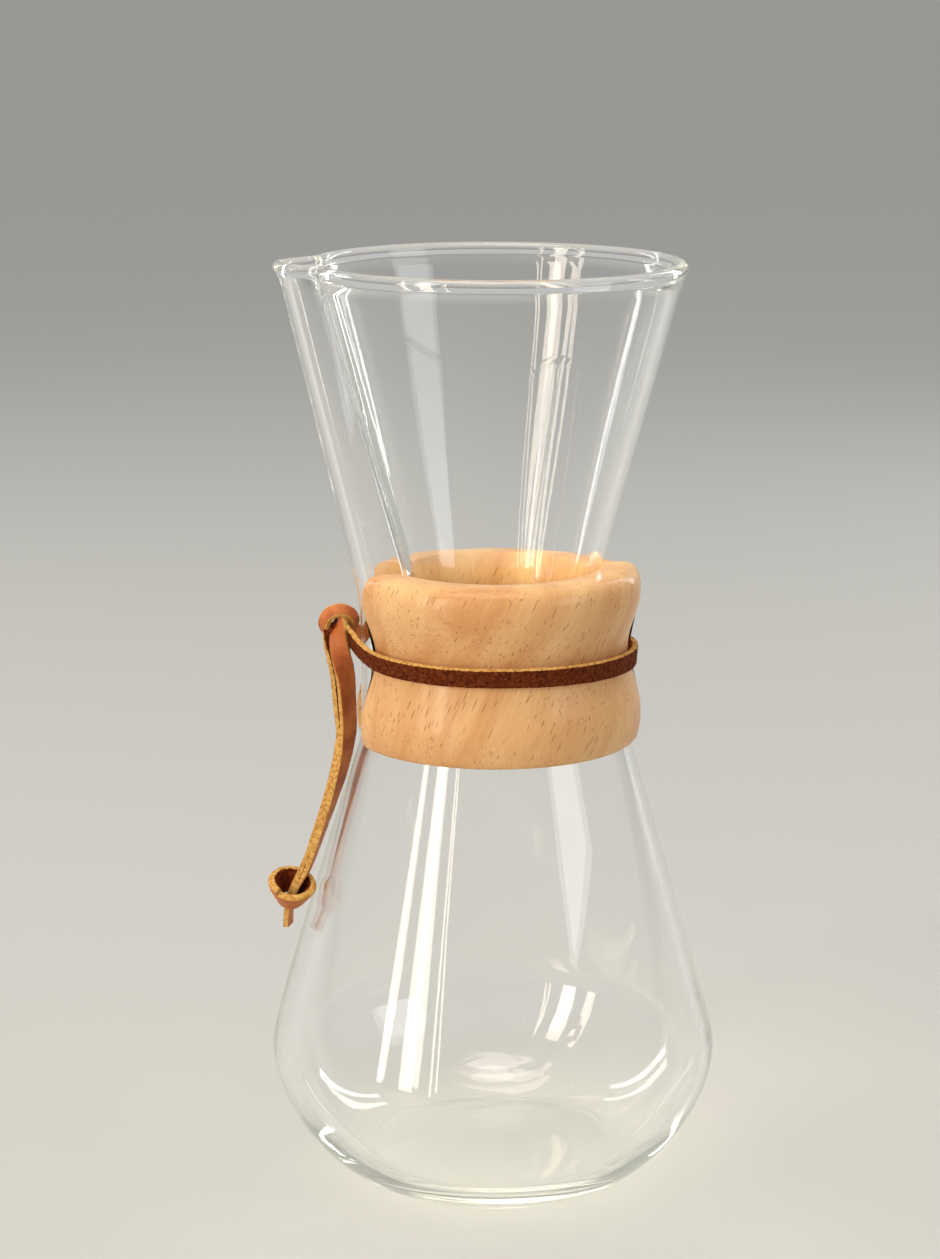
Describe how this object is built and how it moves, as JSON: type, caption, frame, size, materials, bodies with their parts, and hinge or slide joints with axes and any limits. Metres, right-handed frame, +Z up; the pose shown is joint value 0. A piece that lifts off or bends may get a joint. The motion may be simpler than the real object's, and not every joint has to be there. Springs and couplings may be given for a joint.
{
  "type": "pour-over coffee maker",
  "caption": "Hourglass glass coffee maker with a funnel top, a pouring channel, a split wooden collar round the waist and a leather lace that ties the collar and hangs in knotted tails.",
  "frame": {"origin": "centre of the base, on the vessel's axis, where it stands", "axes": "+Z up along the vessel's axis; -X towards the spout and the pouring channel; -Y the front of the collar"},
  "size_m": [0.1017, 0.1008, 0.2083],
  "materials": {
    "glass": "clear blown borosilicate glass, fire-polished, with a faint green tone at its edges",
    "collar_wood": "turned pale hardwood with short brown pores under a satin lacquer",
    "lace_suede": "rough dark red-brown flesh side with paler cut edges",
    "lace_leather": "smooth orange-brown grain side with ochre cut edges"
  },
  "bodies": {
    "vessel": {"glass_vessel": "glass", "collar_front": "collar_wood", "collar_back": "collar_wood"},
    "tie": {"tie_band": "lace_suede", "upper_knot": "lace_leather"},
    "tails": {"front_tail": "lace_leather", "back_tail": "lace_leather", "lower_knot": "lace_leather", "front_tip": "lace_leather", "back_tip": "lace_leather"}
  },
  "joints": [
    {"name": "tie_turn", "type": "hinge", "parent": "vessel", "child": "tie", "pos_m": [0, 0, 0.1223], "axis": [0, 0, 1], "range_deg": [-17, 17]},
    {"name": "tail_swing", "type": "hinge", "parent": "tie", "child": "tails", "pos_m": [-0.0353, 0, 0.1265], "axis": [0, 1, 0], "range_deg": [0, 75]}
  ]
}
